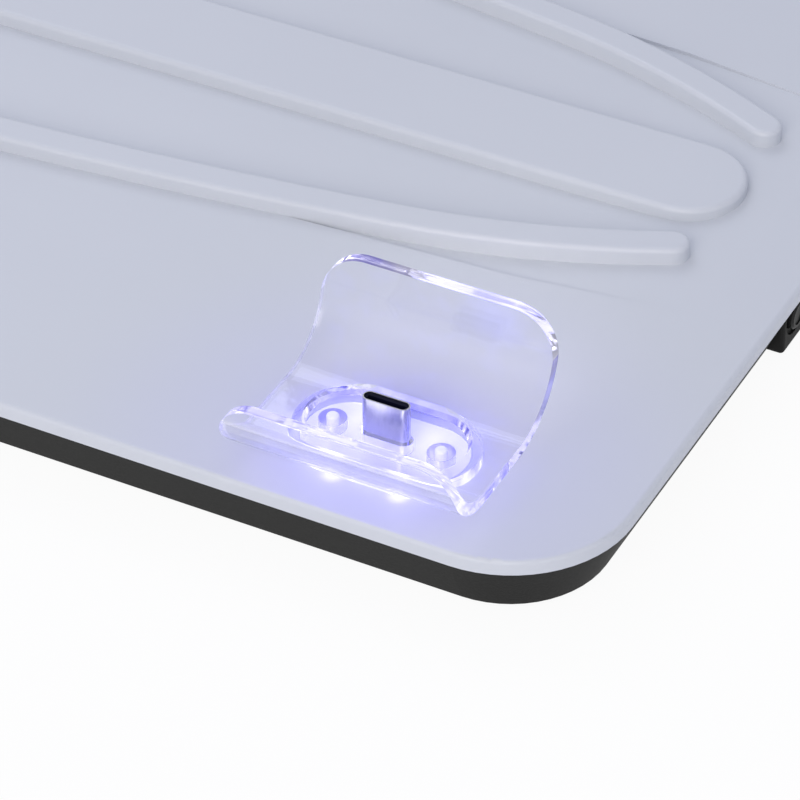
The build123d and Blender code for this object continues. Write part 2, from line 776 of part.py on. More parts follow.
# Screws of the main and rear boards, and the screws that close the housing from below
with BuildPart() as board_screws:
    add_screw(
        board_screw_places,
        board_top,
        small_screw_head,
        small_screw_head_height,
        small_screw_diameter,
        board_thick + small_screw_bite,
        up=True,
    )
board_screws.part.label = "board_screws"

with BuildPart() as housing_screws:
    add_screw(
        housing_screw_places,
        housing_z + housing_floor / 2,
        screw_head,
        screw_head_height,
        screw_diameter,
        housing_floor / 2 + screw_bite,
        up=False,
    )
housing_screws.part.label = "housing_screws"

os.makedirs("parts", exist_ok=True)

# Four rubber feet in their recesses
for foot_name, along, across in (
    ("foot_front_near", 1, -1),
    ("foot_front_far", 1, 1),
    ("foot_rear_near", -1, -1),
    ("foot_rear_far", -1, 1),
):
    with BuildPart() as foot:
        with Locations((along * foot_x, across * foot_y, 0)):
            Cylinder(foot_diameter / 2, foot_proud + foot_recess, align=raised_middle)
        fillet(foot.edges().group_by(Axis.Z)[0], radius=foot_round)
    foot.part.label = foot_name
    export_step(foot.part, f"parts/{foot_name}.step")

for piece in (
    top_cover,
    bottom_housing,
    clear_cradle,
    light_diffuser,
    plug_shell,
    plug_insulator,
    plug_contacts,
    plug_base,
    dock_board,
    dock_leds,
    dock_resistors,
    dock_charge_chip,
    dock_socket,
    dock_leads,
    dock_screws,
    main_board,
    main_converter_chip,
    main_inductor,
    main_capacitors,
    main_dock_socket,
    main_power_socket,
    button_board,
    switch_body,
    switch_plunger,
    mode_button,
    inlet_board,
    inlet_shell,
    inlet_tongue,
    inlet_socket,
    power_leads,
    board_screws,
    housing_screws,
):
    export_step(piece.part, f"parts/{piece.part.label}.step")
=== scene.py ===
# %% [markdown]
# # A controller charging dock, dressed for a photograph
# The dock is a low white stand base with a charcoal housing below it. A clear cradle sits near its
# front corner, and an upright charging plug stands there in a recess that glows violet.
# The solids come ready from CAD, as a fixed frame in metres. This lesson gives each of them the
# finish of its real material, and then lights and photographs the dock.

import math

import bpy
from mathutils import Matrix, Vector


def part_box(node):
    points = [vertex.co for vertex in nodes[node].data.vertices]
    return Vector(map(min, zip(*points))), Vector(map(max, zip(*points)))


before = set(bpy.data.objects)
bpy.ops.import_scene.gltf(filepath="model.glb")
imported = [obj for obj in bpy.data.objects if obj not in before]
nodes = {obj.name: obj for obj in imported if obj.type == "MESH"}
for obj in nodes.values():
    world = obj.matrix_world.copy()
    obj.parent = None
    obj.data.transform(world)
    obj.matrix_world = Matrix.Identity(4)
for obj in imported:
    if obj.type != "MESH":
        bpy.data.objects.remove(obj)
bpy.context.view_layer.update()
mm = 0.001

# %% [markdown]
# ## Tools for materials
# Colours are easiest to read as the hex values of a paint card, but shaders add up light, so one
# function turns a hex value into linear light. A second one adds any node with its settings and
# links: a value that is a socket becomes a link, and any other value is set on the input itself.
# Every pattern is laid out in the object's own coordinates, which are metres in the CAD frame.

# %% Colour and node helpers
def paint(hex_value):
    channels = [int(hex_value[i : i + 2], 16) / 255 for i in (1, 3, 5)]
    linear = [c / 12.92 if c <= 0.04045 else ((c + 0.055) / 1.055) ** 2.4 for c in channels]
    return (*linear, 1.0)


def add_node(tree, kind, inputs=None, **settings):
    node = tree.nodes.new(kind)
    for name, value in settings.items():
        setattr(node, name, value)
    for name, value in (inputs or {}).items():
        if isinstance(value, bpy.types.NodeSocket):
            tree.links.new(value, node.inputs[name])
        else:
            node.inputs[name].default_value = value
    return node


def new_material(name):
    material = bpy.data.materials.new(name)
    material.use_nodes = True
    tree = material.node_tree
    surface = tree.nodes["Principled BSDF"]
    place = add_node(tree, "ShaderNodeTexCoord").outputs["Object"]
    return material, tree, surface, place


print("white card as linear light", [round(c, 3) for c in paint("#ffffff")])

# %% [markdown]
# ## Moulded plastics
# Most of the dock is moulded. A mould is spark-eroded or blasted, so the skin of the plastic has
# small hills about as wide as the grit, and the colour clouds a little where the melt flowed.
# An image of a texture could be laid on, but it would need unwrapping and would stretch at the
# corners. A noise at the grit's size needs neither: it drives the bump and the roughness, and a
# second one, some centimetres wide, drives the clouding. One recipe serves all mouldings.

# %% A recipe for a moulded skin
skin_swing = 0.06


def moulded(name, low, high, cloud_mm, grit_mm, relief_mm, roughness, ior, gloss=0.5):
    material, tree, surface, place = new_material(name)
    cloud = add_node(
        tree, "ShaderNodeTexNoise", {"Vector": place, "Scale": 1 / (cloud_mm * mm), "Detail": 3.0}
    )
    grit = add_node(
        tree, "ShaderNodeTexNoise", {"Vector": place, "Scale": 1 / (grit_mm * mm), "Detail": 2.0}
    )
    tone = add_node(
        tree,
        "ShaderNodeMix",
        {0: cloud.outputs["Fac"], 6: paint(low), 7: paint(high)},
        data_type="RGBA",
    )
    shine = add_node(
        tree,
        "ShaderNodeMapRange",
        {
            "Value": grit.outputs["Fac"],
            "To Min": roughness - skin_swing,
            "To Max": roughness + skin_swing,
        },
    )
    hills = add_node(
        tree, "ShaderNodeBump", {"Height": grit.outputs["Fac"], "Distance": relief_mm * mm}
    )
    tree.links.new(tone.outputs[2], surface.inputs["Base Color"])
    tree.links.new(shine.outputs["Result"], surface.inputs["Roughness"])
    tree.links.new(hills.outputs["Normal"], surface.inputs["Normal"])
    surface.inputs["IOR"].default_value = ior
    surface.inputs["Specular IOR Level"].default_value = gloss
    return material


print("roughness swings with the grit by", skin_swing)

# %% [markdown]
# ## The shells
# The cover, the housing and the button are ABS from spark-eroded moulds. Such a texture is
# 0.05 to 0.2 mm wide, which is finer than a pixel here, so it is drawn two to four times as coarse.

# %% White cover, charcoal housing, black button
# Satin white: wide soft highlights and no mirror, with clouding that is only just visible.
white_abs = moulded(
    "White ABS, satin spark texture",
    "#cdd0d5",
    "#d3d6da",
    cloud_mm=60,
    grit_mm=0.25,
    relief_mm=0.004,
    roughness=0.42,
    ior=1.53,
)
# Dull charcoal: the coarse texture scatters the gloss, so the skirt looks nearly black and dry.
charcoal_abs = moulded(
    "Charcoal ABS, coarse spark texture",
    "#151514",
    "#1c1c1b",
    cloud_mm=25,
    grit_mm=0.45,
    relief_mm=0.03,
    roughness=0.64,
    ior=1.53,
    gloss=0.17,
)
# The button is a little finer and glossier than its pod, so its ring shows as a thin light line.
button_abs = moulded(
    "Black ABS button, fine spark texture",
    "#161616",
    "#1d1d1c",
    cloud_mm=6,
    grit_mm=0.3,
    relief_mm=0.01,
    roughness=0.5,
    ior=1.53,
    gloss=0.25,
)
print("shell finishes", [m.name for m in (white_abs, charcoal_abs, button_abs)])

# %% [markdown]
# ## Small mouldings
# Inside the plug, the inlet and the base are nylon, epoxy, vinyl, rubber and ferrite pieces. They
# are moulded or pressed too, so the same recipe serves them, with the colours and the roughness
# that each of these materials usually has. Their grit is drawn coarser than it really is, too.

# %% Nylon, epoxy, vinyl, rubber, ferrite and phosphor
# Black nylon with glass fibre is dry and dark, and a breath of the violet light is painted into its
# colour.
black_nylon = moulded(
    "Black glass-filled nylon, moulded",
    "#080b1e",
    "#0d112e",
    cloud_mm=3,
    grit_mm=0.2,
    relief_mm=0.008,
    roughness=0.6,
    ior=1.53,
    gloss=0.15,
)
# Nylon without a dye is the warm white of a lead socket.
natural_nylon = moulded(
    "Natural nylon, moulded",
    "#d8d2bf",
    "#e4dfcf",
    cloud_mm=4,
    grit_mm=0.3,
    relief_mm=0.006,
    roughness=0.4,
    ior=1.53,
)
# A chip's epoxy is blasted to a dull dark grey, so that ink would hold.
chip_epoxy = moulded(
    "Chip epoxy, blasted",
    "#17171a",
    "#202024",
    cloud_mm=3,
    grit_mm=0.15,
    relief_mm=0.006,
    roughness=0.55,
    ior=1.55,
)
# Vinyl comes smooth out of the die, with a soft gloss along the lead.
vinyl_jacket = moulded(
    "Vinyl wire jacket, extruded",
    "#1b1b1c",
    "#242426",
    cloud_mm=8,
    grit_mm=0.4,
    relief_mm=0.005,
    roughness=0.45,
    ior=1.52,
)
# Rubber is the dullest of them, and its hills are the largest.
foot_rubber = moulded(
    "Nitrile rubber, moulded",
    "#1c1c1b",
    "#272726",
    cloud_mm=6,
    grit_mm=0.5,
    relief_mm=0.02,
    roughness=0.75,
    ior=1.52,
)
# Tumbled ferrite is a grey stone with a dull shine.
ferrite = moulded(
    "Pressed ferrite, tumbled",
    "#2f3033",
    "#3a3b3f",
    cloud_mm=3,
    grit_mm=0.3,
    relief_mm=0.015,
    roughness=0.5,
    ior=2.2,
)
# The phosphor in a white diode is yellow, under clear resin with a clean gloss.
phosphor_resin = moulded(
    "Yellow phosphor in cast resin",
    "#e3d08a",
    "#efe2b4",
    cloud_mm=2,
    grit_mm=0.2,
    relief_mm=0.002,
    roughness=0.25,
    ior=1.52,
)
small_mouldings = [
    black_nylon,
    natural_nylon,
    chip_epoxy,
    vinyl_jacket,
    foot_rubber,
    ferrite,
    phosphor_resin,
]
print("small mouldings", len(small_mouldings))

# %% [markdown]
# ## Metals
# The plug's shell is drawn steel with a nickel plate, the contacts are gold plated, the screws are
# zinc plated and the capacitors are drawn aluminium cans. Plate copies the draw lines of what is
# below it, so a noise that is stretched along the draw drives the colour and the roughness.
# The lines are some hundredths of a millimetre wide on the real piece, and drawn coarser here.

# %% A recipe for a drawn and plated metal
plate_swing = 0.05
along_draw = 0.08


def plated(name, low, high, line_mm, roughness):
    material, tree, surface, place = new_material(name)
    stretch = add_node(
        tree, "ShaderNodeMapping", {"Vector": place, "Scale": (1.0, 1.0, along_draw)}
    )
    lines = add_node(
        tree,
        "ShaderNodeTexNoise",
        {"Vector": stretch.outputs["Vector"], "Scale": 1 / (line_mm * mm), "Detail": 2.0},
    )
    tone = add_node(
        tree,
        "ShaderNodeMix",
        {0: lines.outputs["Fac"], 6: paint(low), 7: paint(high)},
        data_type="RGBA",
    )
    shine = add_node(
        tree,
        "ShaderNodeMapRange",
        {
            "Value": lines.outputs["Fac"],
            "To Min": roughness - plate_swing,
            "To Max": roughness + plate_swing,
        },
    )
    tree.links.new(tone.outputs[2], surface.inputs["Base Color"])
    tree.links.new(shine.outputs["Result"], surface.inputs["Roughness"])
    surface.inputs["Metallic"].default_value = 1.0
    return material


print("draw lines, length over width", 1 / along_draw)

# %% Nickel, gold, zinc and aluminium
# Bright nickel is nearly a mirror, so the plug takes the violet of the recess that it stands in,
# and a faint blue in the plate's colour is a painted reflection of that violet.
nickel_steel = plated(
    "Drawn steel, nickel plated", "#b0b0bc", "#cacad6", line_mm=0.15, roughness=0.2
)
# Gold on the contacts is warm, and its thin plate is a little duller than a ring's.
gold_plate = plated("Copper strip, gold plated", "#d2a24c", "#e3bb6a", line_mm=0.1, roughness=0.25)
# Zinc is greyer and more broken than nickel, which makes a screw head look soft.
zinc_steel = plated("Steel screw, zinc plated", "#9c9ea3", "#b3b5b9", line_mm=0.2, roughness=0.35)
# A can is drawn from bright sheet, with fine lines up its side.
drawn_can = plated("Drawn aluminium can", "#c3c4c8", "#d6d7da", line_mm=0.2, roughness=0.3)
print("metals", [m.name for m in (nickel_steel, gold_plate, zinc_steel, drawn_can)])

# %% [markdown]
# ## Circuit boards
# A board is glass cloth in epoxy with copper tracks under a green lacquer. The lacquer stands a
# little higher over the tracks and looks lighter there. A brick pattern with rows one track apart,
# 0.8 mm, gives straight tracks with breaks, and its mortar is the bare gap between them.

# %% Solder mask over copper tracks
track_mm = 0.8
track_relief_mm = 0.03
board_lacquer, tree, surface, place = new_material("Glass epoxy board, green solder mask")
tracks = add_node(
    tree,
    "ShaderNodeTexBrick",
    {
        "Vector": place,
        "Color1": paint("#1f6b3a"),
        "Color2": paint("#1b6034"),
        "Mortar": paint("#124526"),
        "Scale": 1 / (track_mm * mm),
        "Mortar Size": 0.12,
        "Brick Width": 9.0,
        "Row Height": 1.0,
    },
)
rise = add_node(
    tree,
    "ShaderNodeBump",
    {"Height": tracks.outputs["Fac"], "Distance": track_relief_mm * mm},
    invert=True,
)
tree.links.new(tracks.outputs["Color"], surface.inputs["Base Color"])
tree.links.new(rise.outputs["Normal"], surface.inputs["Normal"])
# Lacquer flows out before it sets, so it has a smooth soft gloss, with paler tracks under it.
surface.inputs["Roughness"].default_value = 0.32
surface.inputs["IOR"].default_value = 1.55
print("board rows per centimetre", 10 / track_mm)

# %% [markdown]
# ## The light from below
# Two light-emitting diodes sit on the board, one on each side of the plug, under a milky plate.
# Real lamps could be put there, but a renderer needs very many rays to bring light through a
# milky plate and a clear foot. So the pieces that catch the light glow by themselves, by their
# distance from the diodes in the model. The glow then stays where it is when the camera moves.

# %% Where the diodes are
plug_low, plug_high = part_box("plug_shell")
plug_middle = (plug_low + plug_high) / 2
led_low, led_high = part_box("dock_leds")
led_half = 1.4 * mm
led_reach = (led_high.x - led_low.x) / 2 - led_half
cradle_low, cradle_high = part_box("clear_cradle")
plate_top = cradle_low.z
# Heights that CAD gives the seat in the cover, the sheet's upper face and the recess.
seat_depth = 0.8 * mm
sheet_rise = 4.95 * mm
recess_depth = 1.2 * mm
cover_top = cradle_low.z + seat_depth
sheet_top = cradle_low.z + sheet_rise
recess_top = sheet_top - recess_depth
print("diodes each side of the plug, mm", round(led_reach / mm, 2))

# %% [markdown]
# The pair is a mirror image about the plug. Folding space there, by taking the absolute value of
# the distance along X, lets one measure serve both diodes. Its middle can be moved beyond the
# plug, towards the back wall, and aside, towards the front end of the cradle.

# %% Distance from the diodes, and a pool of their light
def diode_distance(tree, place, height, beyond_mm=0.0, reach=led_reach, aside_mm=0.0):
    middle = (plug_middle.x + aside_mm * mm, plug_middle.y + beyond_mm * mm, height)
    moved = add_node(tree, "ShaderNodeVectorMath", {0: place, 1: middle}, operation="SUBTRACT")
    folded = add_node(
        tree, "ShaderNodeVectorMath", {0: moved.outputs["Vector"]}, operation="ABSOLUTE"
    )
    return add_node(
        tree,
        "ShaderNodeVectorMath",
        {0: folded.outputs["Vector"], 1: (reach, 0.0, 0.0)},
        operation="DISTANCE",
    ).outputs["Value"]


pool_reach_mm = 5.8
pool_aside_mm = 1.2


def diode_pool(tree, place, height, beyond_mm, radius_mm):
    away = diode_distance(tree, place, height, beyond_mm, pool_reach_mm * mm, pool_aside_mm)
    return add_node(
        tree,
        "ShaderNodeMapRange",
        {"Value": away, "From Max": radius_mm * mm, "To Min": 1.0, "To Max": 0.0},
        interpolation_type="SMOOTHSTEP",
    ).outputs["Result"]


print("pools of light each side of the plug, mm", pool_reach_mm)

# %% [markdown]
# ## The milky plate
# The plate is polycarbonate with a white filler. Over each diode it looks nearly white, because
# the violet light there is stronger than a picture can show, and it fades to violet away from it.
# So its blue is set above 1, as real light would be: the plate clips to a bluish white, and the
# plug, which reflects only part of it, turns violet as it does on the real dock.

# %% Milky polycarbonate, lit by the diodes
plate_fade_mm = 12
plate_beyond_mm = 4.0
plate_near_power, plate_far_power = 1.9, 0.6
# Milky filler hides the diodes themselves, so the eye finds a soft pool and no bright points.
milky_plate, tree, surface, place = new_material("Milky polycarbonate, lit from below")
reach = add_node(
    tree,
    "ShaderNodeMapRange",
    {
        "Value": diode_distance(tree, place, plate_top, plate_beyond_mm),
        "From Max": plate_fade_mm * mm,
    },
)
glow = add_node(tree, "ShaderNodeValToRGB", {"Fac": reach.outputs["Result"]})
glow.color_ramp.elements[0].color = paint("#8080ff")
glow.color_ramp.elements[1].color = paint("#5a56ff")
halfway = glow.color_ramp.elements.new(0.5)
halfway.color = paint("#7474ff")
power = add_node(
    tree,
    "ShaderNodeMapRange",
    {"Value": reach.outputs["Result"], "To Min": plate_near_power, "To Max": plate_far_power},
)
tree.links.new(glow.outputs["Color"], surface.inputs["Emission Color"])
tree.links.new(power.outputs["Result"], surface.inputs["Emission Strength"])
surface.inputs["Base Color"].default_value = paint("#dcdce6")
surface.inputs["Roughness"].default_value = 0.4
surface.inputs["IOR"].default_value = 1.58
print("milky plate fades over, mm", plate_fade_mm)

# %% [markdown]
# ## A painted halo on the white cover
# The diodes' light falls on the cover round the cradle, and it is painted there as a violet glow
# of the cover's own: a close one that dies away three centimetres from the plug, and a weak one
# twice as wide. It lies on level faces only, so the rounded rim stays white.

# %% Halo round the plug
def shader_of(material):
    tree = material.node_tree
    surface = tree.nodes["Principled BSDF"]
    place = tree.nodes["Texture Coordinate"].outputs["Object"]
    return tree, surface, place


tree, surface, place = shader_of(white_abs)
# The halo is painted light: emission on the cover that stands for the diodes' light falling on it.
halo_beyond_mm = -2.0
wide_start_mm, wide_halo_mm, wide_power = 10, 60, 0.08
close_start_mm, close_halo_mm, close_power = 13, 28, 0.11
nearly_level = 0.8
from_plug = diode_distance(tree, place, plate_top, halo_beyond_mm, reach=0.0)
wide = add_node(
    tree,
    "ShaderNodeMapRange",
    {
        "Value": from_plug,
        "From Min": wide_start_mm * mm,
        "From Max": wide_halo_mm * mm,
        "To Min": wide_power,
        "To Max": 0.0,
    },
    interpolation_type="SMOOTHSTEP",
)
close = add_node(
    tree,
    "ShaderNodeMapRange",
    {
        "Value": from_plug,
        "From Min": close_start_mm * mm,
        "From Max": close_halo_mm * mm,
        "To Min": close_power,
        "To Max": 0.0,
    },
    interpolation_type="SMOOTHSTEP",
)
halo = add_node(
    tree,
    "ShaderNodeMath",
    {0: close.outputs["Result"], 1: wide.outputs["Result"]},
    operation="ADD",
)
facing_way = add_node(tree, "ShaderNodeNewGeometry").outputs["Normal"]
slope = add_node(tree, "ShaderNodeSeparateXYZ", {"Vector": facing_way})
level = add_node(
    tree,
    "ShaderNodeMapRange",
    {"Value": slope.outputs["Z"], "From Min": nearly_level, "From Max": 1.0},
)
print("wide halo reaches, mm", wide_halo_mm)

# %% [markdown]
# Just outside the clear foot, on the lip's side, each diode also throws a small pale pool of light
# on the cover, and the seat that was sunk for the foot catches more light than the rest. Both are
# painted as extra glow in the cover. Under the halo the cover's colour is also turned darker and a
# little violet, as painted shade from the cradle and painted violet light.

# %% Pools and the lit seat
# The pools and the brighter seat are painted light: emission in the cover, set by position.
pool_beyond_mm, pool_radius_mm, pool_power = -9.5, 3.2, 0.35
# The seat is lit below the first height, and the extra light has ended at the second.
seat_lit_to = cover_top - 0.75 * mm
seat_fades_by = cover_top - 0.65 * mm
seat_power = 2.5
pool = diode_pool(tree, place, cover_top, pool_beyond_mm, pool_radius_mm)
both = add_node(
    tree,
    "ShaderNodeMath",
    {0: pool, 1: pool_power, 2: halo.outputs["Value"]},
    operation="MULTIPLY_ADD",
)
on_top = add_node(
    tree,
    "ShaderNodeMath",
    {0: both.outputs["Value"], 1: level.outputs["Result"]},
    operation="MULTIPLY",
)
height = add_node(tree, "ShaderNodeSeparateXYZ", {"Vector": place})
sunk = add_node(
    tree,
    "ShaderNodeMapRange",
    {
        "Value": height.outputs["Z"],
        "From Min": seat_lit_to,
        "From Max": seat_fades_by,
        "To Min": seat_power,
        "To Max": 1.0,
    },
)
lit = add_node(
    tree,
    "ShaderNodeMath",
    {0: on_top.outputs["Value"], 1: sunk.outputs["Result"]},
    operation="MULTIPLY",
)
hue = add_node(
    tree,
    "ShaderNodeMix",
    {0: pool, 6: paint("#2a24ff"), 7: paint("#f4f4ff")},
    data_type="RGBA",
)
tree.links.new(lit.outputs["Value"], surface.inputs["Emission Strength"])
tree.links.new(hue.outputs[2], surface.inputs["Emission Color"])
print("pools on the cover reach, mm", pool_radius_mm)

# %% Painted shade and violet light in the cover's colour under the halo
# The cover's own tone goes towards a darker violet grey under the halo: painted shade and painted
# violet light.
shade_and_violet_share = 3.5
own_tone = surface.inputs["Base Color"].links[0].from_socket
shade_and_violet_mask = add_node(
    tree,
    "ShaderNodeMath",
    {0: on_top.outputs["Value"], 1: shade_and_violet_share},
    operation="MULTIPLY",
    use_clamp=True,
)
tone_with_painted_shade_and_violet = add_node(
    tree,
    "ShaderNodeMix",
    {0: shade_and_violet_mask.outputs["Value"], 6: own_tone, 7: paint("#c2c1d8")},
    data_type="RGBA",
)
tree.links.new(tone_with_painted_shade_and_violet.outputs[2], surface.inputs["Base Color"])
print("nodes in the cover's finish", len(tree.nodes))

# %% [markdown]
# ## The clear cradle
# The cradle is clear acrylic, polished all over. Light that enters through its foot stays inside
# by total reflection and leaves where the sheet was cut, so its edges are bright lines while its
# faces are nearly invisible. Carrying that light with rays would take very long, so the cut edges,
# the foot and the recess get a faint glow of their own on top of the clear shader.
# A glow is near or far. It is white near the diodes, near the front end of the trimmed edges and
# near the lip on the cut ends, and further off it turns violet. A noise some millimetres wide
# breaks it up, as the bends of a real sheet do.

# %% Three measures for the glow in the cradle
light_beyond_mm = -6.0


def from_diodes(tree, place):
    return diode_distance(tree, place, plate_top, light_beyond_mm)


def from_front_end(tree, place):
    along = add_node(tree, "ShaderNodeSeparateXYZ", {"Vector": place})
    return add_node(
        tree, "ShaderNodeMath", {0: cradle_high.x, 1: along.outputs["X"]}, operation="SUBTRACT"
    ).outputs["Value"]


def from_lip(tree, place):
    along = add_node(tree, "ShaderNodeSeparateXYZ", {"Vector": place})
    return add_node(
        tree, "ShaderNodeMath", {0: along.outputs["Y"], 1: cradle_low.y}, operation="SUBTRACT"
    ).outputs["Value"]


print("cradle width, mm", round((cradle_high.x - cradle_low.x) / mm, 1))

# %% [markdown]
# One recipe serves every face of the cradle. It bends light as acrylic does, with an index of
# 1.49, and has the slight waviness of a moulded sheet, 5 mm wide and 0.01 mm deep.

# %% A recipe for clear acrylic
ripple_mm = 5
ripple_relief_mm = 0.01
acrylic_ior = 1.49


def clear_acrylic(name, tint, roughness):
    material, tree, surface, place = new_material(name)
    ripple = add_node(
        tree, "ShaderNodeTexNoise", {"Vector": place, "Scale": 1 / (ripple_mm * mm), "Detail": 2.0}
    )
    wave = add_node(
        tree,
        "ShaderNodeBump",
        {"Height": ripple.outputs["Fac"], "Distance": ripple_relief_mm * mm},
    )
    tree.links.new(wave.outputs["Normal"], surface.inputs["Normal"])
    # A near-white tint is the sheet's own. A deeper violet one is painted diode light.
    surface.inputs["Base Color"].default_value = paint(tint)
    surface.inputs["Transmission Weight"].default_value = 1.0
    surface.inputs["Roughness"].default_value = roughness
    surface.inputs["IOR"].default_value = acrylic_ior
    return material


print("ripple, mm", ripple_mm, "wide and", ripple_relief_mm, "deep")

# %% [markdown]
# A second recipe adds the glow. Near and far each have a colour and a strength. The glow is seen
# from outside, and by the share named inside also through the sheet. A spot is the pool that a
# diode throws on the face.

# %% A recipe for the glow in the acrylic
streak_mm = 4
streak_low, streak_high, streak_shift = 0.35, 0.65, 0.3
spot_beyond_mm, spot_radius_mm = -8.5, 4.5


def light_up(material, near, far, near_mm, far_mm, measure=from_diodes, inside=0.0, spot=0.0):
    tree, surface, place = shader_of(material)
    close = add_node(
        tree,
        "ShaderNodeMapRange",
        {
            "Value": measure(tree, place),
            "From Min": near_mm * mm,
            "From Max": far_mm * mm,
            "To Min": 1.0,
            "To Max": 0.0,
        },
    )
    streak = add_node(
        tree, "ShaderNodeTexNoise", {"Vector": place, "Scale": 1 / (streak_mm * mm), "Detail": 4.0}
    )
    shift = add_node(
        tree,
        "ShaderNodeMapRange",
        {
            "Value": streak.outputs["Fac"],
            "From Min": streak_low,
            "From Max": streak_high,
            "To Min": -streak_shift,
            "To Max": streak_shift,
        },
    )
    nearness = add_node(
        tree,
        "ShaderNodeMath",
        {0: close.outputs["Result"], 1: shift.outputs["Result"]},
        operation="ADD",
        use_clamp=True,
    ).outputs["Value"]
    (near_hue, near_power), (far_hue, far_power) = near, far
    tone = add_node(tree, "ShaderNodeValToRGB", {"Fac": nearness})
    tone.color_ramp.elements[0].color = paint(far_hue)
    tone.color_ramp.elements[1].color = paint(near_hue)
    power = add_node(
        tree, "ShaderNodeMapRange", {"Value": nearness, "To Min": far_power, "To Max": near_power}
    )
    pool = diode_pool(tree, place, recess_top, spot_beyond_mm, spot_radius_mm)
    spotted = add_node(
        tree,
        "ShaderNodeMath",
        {0: pool, 1: spot, 2: power.outputs["Result"]},
        operation="MULTIPLY_ADD",
    )
    hue = add_node(
        tree,
        "ShaderNodeMix",
        {0: pool, 6: tone.outputs["Color"], 7: paint("#ffffff")},
        data_type="RGBA",
    )
    within = add_node(tree, "ShaderNodeNewGeometry").outputs["Backfacing"]
    seen = add_node(
        tree, "ShaderNodeMapRange", {"Value": within, "To Min": 1.0, "To Max": inside}
    )
    leaving = add_node(
        tree,
        "ShaderNodeMath",
        {0: spotted.outputs["Value"], 1: seen.outputs["Result"]},
        operation="MULTIPLY",
    )
    tree.links.new(hue.outputs[2], surface.inputs["Emission Color"])
    tree.links.new(leaving.outputs["Value"], surface.inputs["Emission Strength"])


print("streaks in the glow, mm", streak_mm)

# %% [markdown]
# Seven finishes come from these recipes, one for each way that the acrylic's surface was made.
# The violet in the tints of the foot, the recess wall, the cut and trimmed edges and the holes is
# painted diode light. Four of them are faces that came out of the mould or were polished.

# %% Polished and moulded faces
violet = "#5a55ff"
# Polished faces only tint what is behind them, and a painted violet glow with diode pools lies on
# them near the foot.
clear_face = clear_acrylic("Clear acrylic, polished", "#f9f9ff", 0.02)
light_up(clear_face, near=(violet, 0.12), far=(violet, 0.0), near_mm=6, far_mm=18, spot=1.2)
# The floor of the recess is a clean window onto the milky plate, with no glow of its own.
clear_window = clear_acrylic("Clear acrylic, polished window", "#fafaff", 0.02)
# The foot's wall stands right over the diodes, so it is the brightest.
clear_foot = clear_acrylic("Clear acrylic, lit foot wall", "#e4e3ff", 0.08)
light_up(clear_foot, near=("#ffffff", 0.7), far=("#5a50ff", 0.35), near_mm=8, far_mm=14)
# The leaning wall of the recess comes from the mould, with a duller polish.
clear_wall = clear_acrylic("Clear acrylic, moulded recess wall", "#d6d4ff", 0.1)
light_up(clear_wall, near=("#ffffff", 0.4), far=("#5a50ff", 0.45), near_mm=4, far_mm=14, spot=1.2)
print("polished and moulded", [m.name for m in (clear_face, clear_window, clear_foot, clear_wall)])

# %% [markdown]
# The other three are where the sheet was cut or drilled. The trapped light comes out there, so
# these edges are what the eye finds first in a clear piece.

# %% Cut, trimmed and drilled edges
# Cut ends let the trapped light out: white at the lip, and a thin violet up the side.
clear_cut = clear_acrylic("Clear acrylic, lit cut edge", "#dddbff", 0.05)
light_up(
    clear_cut,
    near=("#ffffff", 0.5),
    far=("#6a64ff", 0.13),
    near_mm=2,
    far_mm=14,
    measure=from_lip,
    inside=0.35,
)
# Trimmed edges do the same along the top, where the front half is white and the rear half violet.
clear_trim = clear_acrylic("Clear acrylic, lit trimmed edge", "#efeeff", 0.05)
light_up(
    clear_trim,
    near=("#ecebff", 0.33),
    far=("#a6a1ff", 0.42),
    near_mm=23,
    far_mm=33,
    measure=from_front_end,
    inside=0.6,
)
# Drilling leaves a frosted wall, and its violet tint and glow are painted diode light, so the holes
# look like soft violet rings.
clear_hole = clear_acrylic("Clear acrylic, drilled and frosted", "#c0bcff", 0.4)
light_up(clear_hole, near=("#a39dff", 0.15), far=("#7a74ef", 0.1), near_mm=2, far_mm=9)
clear_kinds = [clear_face, clear_cut, clear_foot, clear_hole, clear_wall, clear_window, clear_trim]
print("finishes of the cradle", len(clear_kinds))

# %% [markdown]
# ## A painted violet patch in the corner
# Light that runs up the back wall turns round in the rounded corner at its front end, and some of
# it gathers there. It is painted as a soft patch of glow, added to the glow that the polished face
# already has.

# %% Gathered light near the upper corner
# The patch is painted light: emission added to the polished face, set by position.
patch_radius_mm = 8
patch_power = 0.09
corner_inset = Vector((11.0, 1.0, 2.5)) * mm
tree, surface, place = shader_of(clear_face)
from_corner = add_node(
    tree,
    "ShaderNodeVectorMath",
    {0: place, 1: cradle_high - corner_inset},
    operation="DISTANCE",
)
gathered = add_node(
    tree,
    "ShaderNodeMapRange",
    {
        "Value": from_corner.outputs["Value"],
        "From Max": patch_radius_mm * mm,
        "To Min": patch_power,
        "To Max": 0.0,
    },
    interpolation_type="SMOOTHSTEP",
)
glow_so_far = surface.inputs["Emission Strength"].links[0].from_socket
with_patch = add_node(
    tree, "ShaderNodeMath", {0: glow_so_far, 1: gathered.outputs["Result"]}, operation="ADD"
)
tree.links.new(with_patch.outputs["Value"], surface.inputs["Emission Strength"])
print("patch reaches, mm", patch_radius_mm)

# %% [markdown]
# ## Which face of the cradle gets which finish
# The sheet was trimmed straight across, so its cut faces have no slope along Y, while the faces of
# the bent sheet do. The foot's wall is upright and lies low, the two holes are upright and round,
# and the wall of the recess leans out. Painting a mask by hand would have to be done again after
# each change in CAD, so each face is sorted by where it is and which way it looks.

# %% Limits between the kinds of face
half_width = (cradle_high.x - cradle_low.x) / 2
hole_reach = 9.6 * mm
hole_zone = 2.5 * mm
touch = 0.01 * mm
